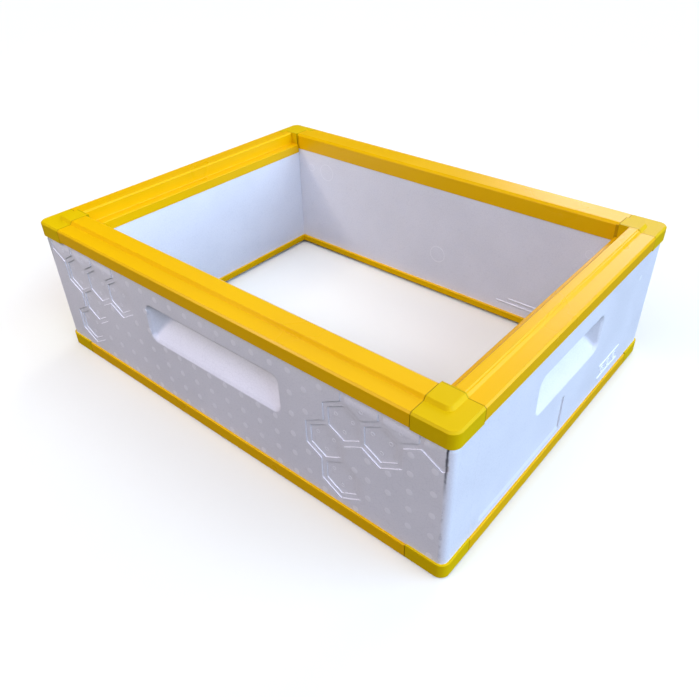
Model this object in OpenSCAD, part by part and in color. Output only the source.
// Langstroth medium hive box. Four foam wall panels, dovetailed at the corners, stand between two
// plastic edge rings, and each ring is four rails and four corner pieces.
// X runs along the long sides, Y from the front to the back and Z up.
// The origin is the centre of the footprint, on the surface that the box stands on.

/* [Box] */
// Outside length of the box
box_l = 550; // [535:1:565]
// Outside width of the box
box_w = 415; // [400:1:430]
// Height of the top flange above the foot, which is the pitch of a stack
flange_z = 165.8; // [160:0.1:240]
// Height of the locating ridge above the flange
ridge_h = 3.6; // [3:0.1:3.8]
// Radius of the rings' outer corners, seen from above
corner_r = 9; // [7:0.5:12]

/* [Edge rings] */
// Length of a corner piece along the long side
arm_x = 39.7; // [36:0.1:41]
// Length of a corner piece along the end
arm_y = 39.5; // [36:0.1:41]
// Thickness of the rails' walls
wall = 3; // [2:0.1:3]
// Bevel along the rings' outer edges
edge_bevel = 1.8; // [1:0.1:2]
// Gap at the seams between a rail and a corner piece
seam = 0.3; // [0.1:0.1:0.6]
// Flange width in front of the ridge on the long sides
side_flange = 17; // [16:0.1:18]
// Flange width in front of the ridge on the ends
end_flange = 15.7; // [15:0.1:17]
// Height of the frame rest below the flange
rest_drop = 11.5; // [10:0.1:13]
// Distance from the box's end to the wall behind the frame rest
rest_back = 29.7; // [28:0.1:31]
// Distance from the box's end to the lip of the frame rest
rest_lip = 41.3; // [40.5:0.1:42]
// Height of the bottom ring's outer wall
foot_h = 15.9; // [14:0.1:20]

/* [Foam panels] */
// Inset of the foam faces from the rings' faces
foam_inset = 2; // [1.5:0.1:3]
// Distance from the outside of the box to the long panels' inner faces
side_foam = 38.9; // [38:0.1:39]
// Distance from the outside of the box to the end panels' inner faces
end_foam = 40.5; // [40:0.1:41]
// Height at which the foam starts to step in under the top ring
foam_step_z = 144.4; // [140:0.1:145]

/* [Handholds] */
// Length of the handholds in the long panels
side_grip_l = 191; // [150:1:200]
// Length of the handholds in the end panels
end_grip_l = 136; // [110:1:150]
// Height of the handholds' lower edge above the foot
grip_z = 82; // [75:0.5:85]
// Height of a handhold's opening
grip_h = 46; // [40:0.5:50]
// Depth of a handhold under its upper edge
grip_depth = 25; // [18:0.5:28]
// How much lower the handholds in the ends are
end_grip_drop = 2.3; // [0:0.1:4]

/* [Relief] */
// Distance across the flats of a recessed cell
cell_flat = 33.4; // [30:0.1:34]
// Distance from one cell to the next
cell_pitch = 38.5; // [38:0.1:40]
// Depth of each of the two steps of the relief
relief_step = 0.9; // [0.6:0.1:1.5]

/* [Hidden] */
$fn = 48;

foam_colour = [0.86, 0.88, 0.94];
rail_colour = [0.98, 0.78, 0.03];
corner_colour = [0.92, 0.80, 0.04];

half_l = box_l / 2;
half_w = box_w / 2;
ridge_z = flange_z + ridge_h;
rest_z = flange_z - rest_drop;
plate_z = flange_z - wall;
ridge_plate_z = ridge_z - wall;
slope = 2.5;
fit = 0.2;
over = 1;
arc_steps = 5;

// Lower edges of the top ring's outer walls
rail_skirt_z = 151;
corner_skirt_z = 149.4;
// Lower edges of the top ring's inner walls
side_inner_z = 148.4;
end_inner_z = 142.8;
// Inner faces of the ridge's flat top
side_ridge_in = 36.2;
end_ridge_in = 28.2;
// Overhang of a corner's ridge past the seam
ridge_overhang = 1.3;
// Inset of the foam that fills the ridge
core_inset = 21;

// The recess under the bottom ring, which drops over the ridge of the box below
recess_h = 4;
recess_gap = 0.8;
recess_r = 7.3;
foot_side = side_flange - recess_gap;
foot_end = end_flange - recess_gap;
// Top of the bottom ring's inner walls, and how far those are from the outside of the box
foot_inner_z = 12.4;
foot_lip_side = 42.3;
foot_lip_end = 43;
corner_foot_h = foot_h + 1.4;
// Width of the bottom ring's channel, and the height of the plate that the foam stands on
channel_w = 11.5;
foam_seat_z = recess_h + wall;

// Tabs that plug a corner piece into its two rails
tab_l = 12;
tab_t = 2;
tab_d = [5, 15];
foot_tab_d = [4.5, 10.5];
tab_root = 8;

// Dovetail keys on the end panels
key_d = 20;
key_root = 10;
key_tip = 16;
key_l = 13;
key_top = 140;

// Height over which the foam steps in under the top ring; it ends below the corner pieces' skirts
foam_step_h = 4;

// Honeycomb cells as [x, z]: those with a floor one more step down, and those left at face level
cell_band = 5.2;
cell_rows = [147.6, 114, 81.8, 47.7];
right_cell_x = 168.4;
left_cell_x = -220.7;
deep_cells = [
    [right_cell_x, cell_rows[1]],
    [right_cell_x + cell_pitch, cell_rows[1]],
    [right_cell_x - 21.6, cell_rows[2]],
    [right_cell_x - 4.7, cell_rows[3]],
    for (i = [0:2]) [left_cell_x + i * cell_pitch, cell_rows[1]],
    [left_cell_x + cell_pitch / 2, cell_rows[2]],
    [left_cell_x, cell_rows[3]]
];
raised_cells = [
    for (i = [0:2]) [right_cell_x + (i + 0.5) * cell_pitch, cell_rows[0]],
    for (i = [-1:1]) [left_cell_x + (i + 0.5) * cell_pitch, cell_rows[0]]
];

// Label recess on the end panels: limits along Y and Z, depth, and how far its walls slope
label_y = [-152.8, -2];
label_z = [22.3, 65.2];
label_depth = 1.6;
label_side_slope = 0.5;
label_foot_slope = 4.4;

// ---- Outlines ----

function unit(v) = v / norm(v);

// Points of one corner p between a and b, rounded with radius r
function corner_arc(a, p, b, r) =
    let (
        u = unit(a - p),
        w = unit(b - p),
        half = acos(max(-1, min(1, u * w))) / 2,
        centre = p + unit(u + w) * r / sin(half),
        from = p + u * r / tan(half) - centre,
        to = p + w * r / tan(half) - centre,
        start = atan2(from.y, from.x),
        turn = atan2(to.y, to.x) - start,
        sweep = turn > 180 ? turn - 360 : turn < -180 ? turn + 360 : turn
    )
    [
        for (i = [0:arc_steps])
            let (angle = start + sweep * i / arc_steps)
            centre + r * [cos(angle), sin(angle)]
    ];

// A closed outline from [x, y] or [x, y, radius] corners
function rounded(corners) =
    let (n = len(corners), at = [for (c = corners) [c.x, c.y]])
    [
        for (i = [0:n - 1])
            let (r = len(corners[i]) > 2 ? corners[i][2] : 0)
            each r > 0 ? corner_arc(at[(i + n - 1) % n], at[i], at[(i + 1) % n], r) : [at[i]]
    ];

// The same for an open line, whose first and last points stay as they are
function rounded_wall(corners) =
    let (n = len(corners), at = [for (c = corners) [c.x, c.y]])
    [
        for (i = [0:n - 1])
            let (r = i > 0 && i < n - 1 && len(corners[i]) > 2 ? corners[i][2] : 0)
            each r > 0 ? corner_arc(at[i - 1], at[i], at[i + 1], r) : [at[i]]
    ];

// A wall's outline in [distance from the outside, height], extruded along X at the front
module along_front(length, outline) {
    translate([-length / 2, -half_w, 0])
        rotate([90, 0, 90])
            linear_extrude(length) polygon(outline);
}

// The same, extruded along Y at the left end
module along_left(length, outline) {
    translate([-half_l, length / 2, 0])
        rotate([90, 0, 0])
            linear_extrude(length) polygon(outline);
}

// A block whose outer wall follows [inset, height] points from the bottom up, round corners included
module walled_block(size, radius, outer) {
    low = outer[0].y;
    high = outer[len(outer) - 1].y;
    inner = [[radius, high], [radius, low]];
    for (side = [0, 1]) {
        mirror([side, 0, 0])
            translate([-size.x / 2, size.y / 2 - radius, 0])
                rotate([90, 0, 0])
                    linear_extrude(size.y - 2 * radius)
                        polygon(concat(outer, [[size.x / 2 + 0.1, high], [size.x / 2 + 0.1, low]]));
        mirror([0, side, 0])
            translate([radius - size.x / 2, -size.y / 2, 0])
                rotate([90, 0, 90])
                    linear_extrude(size.x - 2 * radius)
                        polygon(concat(outer, inner));
    }
    for (x = [-1, 1], y = [-1, 1])
        translate([x * (size.x / 2 - radius), y * (size.y / 2 - radius), 0])
            rotate_extrude()
                polygon([for (p = concat(outer, [[radius, high], [radius, low]])) [radius - p.x, p.y]]);
}

// A box from its lowest and highest corners
module span(low, high) {
    translate(low) cube(high - low);
}

// ---- Top ring ----

top_edge = [[0, flange_z - edge_bevel, 0.6], [edge_bevel, flange_z, 0.6]];

// Hollow of the top rails in front of and under the ridge, up to its inner side
ridge_hollow = [[core_inset, ridge_plate_z], [core_inset, plate_z], [wall, plate_z]];

top_side_outline = rounded(concat(
    [[0, rail_skirt_z, 0.5]],
    top_edge,
    [
        [side_flange, flange_z, 1],
        [side_flange + slope, ridge_z, 1.2],
        [side_ridge_in, ridge_z, 1.2],
        [arm_y, ridge_z - 2.4, 1],
        [arm_y, side_inner_z, 0.5],
        [arm_y - wall, side_inner_z],
        [arm_y - wall, ridge_plate_z - 2],
        [arm_y - wall - 2, ridge_plate_z]
    ],
    ridge_hollow,
    [[wall, rail_skirt_z]]
));

top_end_outline = rounded(concat(
    [[0, rail_skirt_z, 0.5]],
    top_edge,
    [
        [end_flange, flange_z, 0.8],
        [end_flange + 2, ridge_z - 1.2, 0.5],
        [end_flange + 3.2, ridge_z - 1],
        [end_flange + 4, ridge_z, 0.5],
        [end_ridge_in, ridge_z, 0.8],
        [rest_back, ridge_z - 1.5, 0.8],
        [rest_back, rest_z, 1],
        [rest_lip, rest_z, 0.8],
        [rest_lip, end_inner_z, 0.5],
        [rest_lip - wall, end_inner_z],
        [rest_lip - wall, rest_z - wall],
        [rest_back - wall, rest_z - wall],
        [rest_back - wall, ridge_plate_z]
    ],
    ridge_hollow,
    [[wall, rail_skirt_z]]
));

module top_side_rail() {
    color(rail_colour)
        along_front(box_l - 2 * arm_x - seam, top_side_outline);
}

module top_end_rail() {
    color(rail_colour)
        difference() {
            along_left(box_w - 2 * arm_y - seam, top_end_outline);
            for (side = [0, 1])
                mirror([0, side, 0])
                    for (cut = [
                        [end_flange - over, rest_back + over, flange_z, ridge_z + over],
                        [rest_back, rest_lip + over, rest_z - wall, rest_z + over]
                    ])
                        span(
                            [-half_l + cut[0], half_w - arm_y - ridge_overhang - seam / 2, cut[2]],
                            [-half_l + cut[1], half_w - arm_y + over, cut[3]]
                        );
        }
}

// The two tabs of the front left corner piece, larger by grow on every side
module top_tabs(grow) {
    low_z = plate_z - fit - tab_t - grow;
    near = [-half_l, -half_w];
    span(
        [near.x + arm_x - tab_root - grow, near.y + tab_d[0] - grow, low_z],
        [near.x + arm_x + tab_l + grow, near.y + tab_d[1] + grow, plate_z - fit + grow]
    );
    span(
        [near.x + tab_d[0] - grow, near.y + arm_y - tab_root - grow, low_z],
        [near.x + tab_d[1] + grow, near.y + arm_y + tab_l + grow, plate_z - fit + grow]
    );
}

// Fills the step between a tab's root and the plate above it
module top_tab_roots() {
    near = [-half_l, -half_w];
    low_z = plate_z - fit - tab_t;
    span(
        [near.x + arm_x - tab_root, near.y + tab_d[0], low_z],
        [near.x + arm_x - seam / 2, near.y + tab_d[1], plate_z]
    );
    span(
        [near.x + tab_d[0], near.y + arm_y - tab_root, low_z],
        [near.x + tab_d[1], near.y + arm_y - seam / 2, plate_z]
    );
}

// The corner piece at the front left
module top_corner() {
    seam_x = -half_l + arm_x - seam / 2;
    seam_y = -half_w + arm_y - seam / 2;
    color(corner_colour) {
        difference() {
            intersection() {
                walled_block(
                    [box_l, box_w], corner_r,
                    rounded_wall([
                        [0, corner_skirt_z], [0, flange_z - edge_bevel, 0.6], [edge_bevel, flange_z]
                    ])
                );
                span([-half_l - over, -half_w - over, 0], [seam_x, seam_y, flange_z + over]);
            }
            walled_block(
                [box_l - 2 * wall, box_w - 2 * wall], corner_r - wall,
                [[0, corner_skirt_z - over], [0, plate_z]]
            );
        }
        difference() {
            union() {
                intersection() {
                    walled_block(
                        [box_l - 2 * end_flange, box_w - 2 * side_flange], corner_r - slope,
                        rounded_wall([
                            [0, flange_z - over], [0, flange_z],
                            [slope, ridge_z, 1.2], [2 * slope, ridge_z]
                        ])
                    );
                    union() {
                        span([-half_l, -half_w, plate_z], [seam_x, seam_y, ridge_z + over]);
                        span(
                            [-half_l, -half_w, flange_z],
                            [seam_x, seam_y + ridge_overhang, ridge_z + over]
                        );
                    }
                }
                span(
                    [-half_l + wall, seam_y - wall, side_inner_z],
                    [seam_x, seam_y, plate_z]
                );
                span(
                    [-half_l + rest_back + seam / 2, seam_y - over, rest_z - wall],
                    [seam_x, seam_y + ridge_overhang, ridge_z - over]
                );
            }
            span(
                [-half_l + core_inset, -half_w + core_inset, plate_z - over],
                [seam_x + over, seam_y - wall, ridge_plate_z]
            );
        }
        top_tabs(0);
        top_tab_roots();
    }
}

// ---- Bottom ring ----

foot_edge = [[0, foot_h, 0.8], [0, edge_bevel, 0.6], [edge_bevel, 0, 0.5]];

// Bottom rail outline from the recess inwards and round to the outer wall
function foot_outline(foot_w, lip, foam) = rounded(concat(
    foot_edge,
    [
        [foot_w, 0, 0.5],
        [foot_w + slope, recess_h, 0.5],
        [lip, recess_h, 0.5],
        [lip, foot_inner_z, 1],
        [foam + fit, foot_inner_z],
        [foam + fit, foam_seat_z],
        [channel_w, foam_seat_z],
        [channel_w, wall],
        [wall, wall],
        [wall, foot_h, 0.5]
    ]
));

module bottom_side_rail() {
    color(rail_colour)
        difference() {
            along_front(box_l - 2 * arm_x - seam, foot_outline(foot_side, foot_lip_side, side_foam));
            for (side = [0, 1])
                mirror([side, 0, 0])
                    span(
                        [half_l - end_foam - fit, -half_w + arm_y - over, foam_seat_z],
                        [half_l, -half_w + foot_lip_side + over, foot_h]
                    );
        }
}

module bottom_end_rail() {
    color(rail_colour)
        difference() {
            along_left(box_w - 2 * arm_y - seam, foot_outline(foot_end, foot_lip_end, end_foam));
            for (side = [0, 1])
                mirror([0, side, 0])
                    span(
                        [-half_l + arm_x - seam, half_w - foot_lip_side - seam, -over],
                        [-half_l + foot_lip_end + over, half_w, foot_h]
                    );
        }
}

// The two tabs of the front left corner piece, which lie in the rails' channels
module foot_tabs() {
    near = [-half_l, -half_w];
    span(
        [near.x + arm_x - tab_root, near.y + foot_tab_d[0], wall],
        [near.x + arm_x + tab_l, near.y + foot_tab_d[1], wall + tab_t]
    );
    span(
        [near.x + foot_tab_d[0], near.y + arm_y - tab_root, wall],
        [near.x + foot_tab_d[1], near.y + arm_y + tab_l, wall + tab_t]
    );
}

// The corner piece at the front left
module bottom_corner() {
    color(corner_colour) {
        difference() {
            intersection() {
                union() {
                    difference() {
                        walled_block(
                            [box_l, box_w], corner_r,
                            rounded_wall([
                                [2 * edge_bevel, 0], [edge_bevel, 0, 0.5], [0, edge_bevel, 0.6],
                                [0, corner_foot_h, 0.8], [wall / 2, corner_foot_h]
                            ])
                        );
                        walled_block(
                            [box_l - 2 * wall, box_w - 2 * wall], corner_r - wall,
                            [[0, wall], [0, corner_foot_h + over]]
                        );
                    }
                    span(
                        [-half_l + channel_w, -half_w + channel_w, wall / 2],
                        [0, 0, foam_seat_z]
                    );
                }
                span(
                    [-half_l - over, -half_w - over, -over],
                    [-half_l + arm_x - seam / 2, -half_w + arm_y - seam / 2, corner_foot_h + over]
                );
            }
            walled_block(
                [box_l - 2 * foot_end, box_w - 2 * foot_side], recess_r,
                [[0, -over], [0, 0], [slope, recess_h]]
            );
        }
        foot_tabs();
    }
}

// ---- Foam panels ----

foam_wall = [
    [wall + fit, foam_seat_z],
    [wall + fit, foot_h + fit],
    [foam_inset, foot_h + fit],
    [foam_inset, foam_step_z],
    [wall + fit, foam_step_z + foam_step_h],
    [wall + fit, plate_z]
];

// The foam inside the rings, all round the box, with pockets for the corner pieces
module foam_block() {
    difference() {
        walled_block([box_l, box_w], corner_r, foam_wall);
        for (x = [0, 1], y = [0, 1])
            mirror([x, 0, 0])
                mirror([0, y, 0]) {
                    top_tabs(fit);
                    translate([0, 0, fit]) top_tabs(fit);
                }
    }
}

// A handhold in a foam face that stands along X: it goes in along +Y from the face at Y = 0
module scoop(length) {
    side_in = 12;
    intersection() {
        translate([-length / 2, 0, grip_z])
            rotate([90, 0, 90])
                linear_extrude(length)
                    polygon(rounded([
                        [-over, 0], [0, 0], [2.2, 3.2, 1.5], [grip_depth, 28.5, 14],
                        [grip_depth, grip_h, 9], [0, grip_h], [-over, grip_h]
                    ]));
        translate([0, grip_depth + over, grip_z])
            rotate([90, 0, 0])
                linear_extrude(grip_depth + 2 * over + 1)
                    polygon(rounded([
                        [-length / 2, 0, 11], [length / 2, 0, 11],
                        [length / 2, grip_h, 11], [-length / 2, grip_h, 11]
                    ]));
        translate([0, 0, grip_z - over])
            linear_extrude(grip_h + 2 * over)
                polygon(rounded([
                    [-length / 2, -over], [length / 2, -over], [length / 2, 0],
                    [length / 2 - side_in, grip_depth, 18], [side_in - length / 2, grip_depth, 18],
                    [-length / 2, 0]
                ]));
    }
}

// The label recess, placed as scoop() is
module label_recess() {
    low = -label_y[1];
    high = -label_y[0];
    intersection() {
        translate([low, 0, label_z[0]])
            rotate([90, 0, 90])
                linear_extrude(high - low)
                    polygon([
                        [-over, 0], [0, 0], [label_depth, label_foot_slope],
                        [label_depth, label_z[1] - label_z[0] - label_side_slope],
                        [0, label_z[1] - label_z[0]], [-over, label_z[1] - label_z[0]]
                    ]);
        translate([0, 0, label_z[0] - over])
            linear_extrude(label_z[1] - label_z[0] + 2 * over)
                polygon([
                    [low, -over], [high, -over], [high, 0],
                    [high - label_side_slope, label_depth], [low + label_side_slope, label_depth],
                    [low, 0]
                ]);
    }
}

// An upright hexagonal prism at [x, z] that cuts the front face to a depth
module cell(at, flat, depth) {
    translate([at.x, -half_w + foam_inset + depth, at.y])
        rotate([90, 30, 0])
            linear_extrude(depth + over)
                circle(d = flat / cos(30), $fn = 6);
}

module relief() {
    difference() {
        for (at = concat(deep_cells, raised_cells))
            cell(at, cell_flat + 2 * cell_band, relief_step);
        for (at = raised_cells)
            cell(at, cell_flat, 2 * relief_step);
    }
    for (at = deep_cells)
        cell(at, cell_flat, 2 * relief_step);
}

// A dovetail key on the left end panel's front end, larger by grow all round
module key(grow) {
    translate([-half_l + key_d, -half_w + side_foam, foam_seat_z - grow])
        linear_extrude(key_top - foam_seat_z + 2 * grow)
            polygon([
                [key_root / 2 + grow, over], [-key_root / 2 - grow, over], [-key_root / 2 - grow, 0],
                [-key_tip / 2 - grow, -key_l - grow], [key_tip / 2 + grow, -key_l - grow],
                [key_root / 2 + grow, 0]
            ]);
}

module side_panel() {
    color(foam_colour)
        difference() {
            union() {
                intersection() {
                    foam_block();
                    span([-half_l, -half_w, 0], [half_l, -half_w + side_foam, flange_z]);
                }
                along_front(box_l - 2 * core_inset, [
                    [core_inset, plate_z - over], [core_inset, ridge_plate_z],
                    [arm_y - wall - 2, ridge_plate_z], [arm_y - wall - fit, ridge_plate_z - 2],
                    [arm_y - wall - fit, plate_z - over]
                ]);
            }
            span(
                [-half_l, -half_w + arm_y - wall - fit, side_inner_z - fit],
                [half_l, -half_w + side_foam + over, ridge_z]
            );
            for (side = [0, 1])
                mirror([side, 0, 0])
                    key(fit);
            translate([0, -half_w + foam_inset, 0]) scoop(side_grip_l);
            relief();
        }
}

module end_panel() {
    color(foam_colour) {
        difference() {
            union() {
                intersection() {
                    foam_block();
                    span(
                        [-half_l, -half_w + side_foam, 0],
                        [-half_l + end_foam, half_w - side_foam, flange_z]
                    );
                }
                along_left(box_w - 2 * (arm_y + ridge_overhang + fit), [
                    [core_inset, plate_z - over], [core_inset, ridge_plate_z],
                    [rest_back - wall - fit, ridge_plate_z], [rest_back - wall - fit, plate_z - over]
                ]);
            }
            span(
                [-half_l + rest_back - wall - fit, -half_w, rest_z - wall],
                [0, half_w, ridge_z]
            );
            span(
                [-half_l + rest_lip - wall - fit, -half_w, end_inner_z - fit],
                [0, half_w, ridge_z]
            );
            for (side = [0, 1])
                mirror([0, side, 0])
                    span([-half_l, -half_w, side_inner_z - fit], [0, -half_w + arm_y, ridge_z]);
            translate([-half_l + foam_inset, 0, 0])
                rotate([0, 0, -90]) {
                    translate([0, 0, -end_grip_drop]) scoop(end_grip_l);
                    label_recess();
                }
        }
        for (side = [0, 1])
            mirror([0, side, 0])
                key(0);
    }
}

// ---- The nodes ----

module at_right() {
    mirror([1, 0, 0]) children();
}

module at_back() {
    mirror([0, 1, 0]) children();
}

module turned() {
    rotate([0, 0, 180]) children();
}

side_panel();  // front_side_panel
turned() side_panel();  // back_side_panel
at_right() end_panel();  // right_end_panel
turned() at_right() end_panel();  // left_end_panel
top_side_rail();  // top_front_rail
at_back() top_side_rail();  // top_back_rail
top_end_rail();  // top_left_rail
at_right() top_end_rail();  // top_right_rail
top_corner();  // top_corner_front_left
at_right() top_corner();  // top_corner_front_right
at_back() top_corner();  // top_corner_back_left
at_back() at_right() top_corner();  // top_corner_back_right
bottom_side_rail();  // bottom_front_rail
at_back() bottom_side_rail();  // bottom_back_rail
bottom_end_rail();  // bottom_left_rail
at_right() bottom_end_rail();  // bottom_right_rail
bottom_corner();  // bottom_corner_front_left
at_right() bottom_corner();  // bottom_corner_front_right
at_back() bottom_corner();  // bottom_corner_back_left
at_back() at_right() bottom_corner();  // bottom_corner_back_right
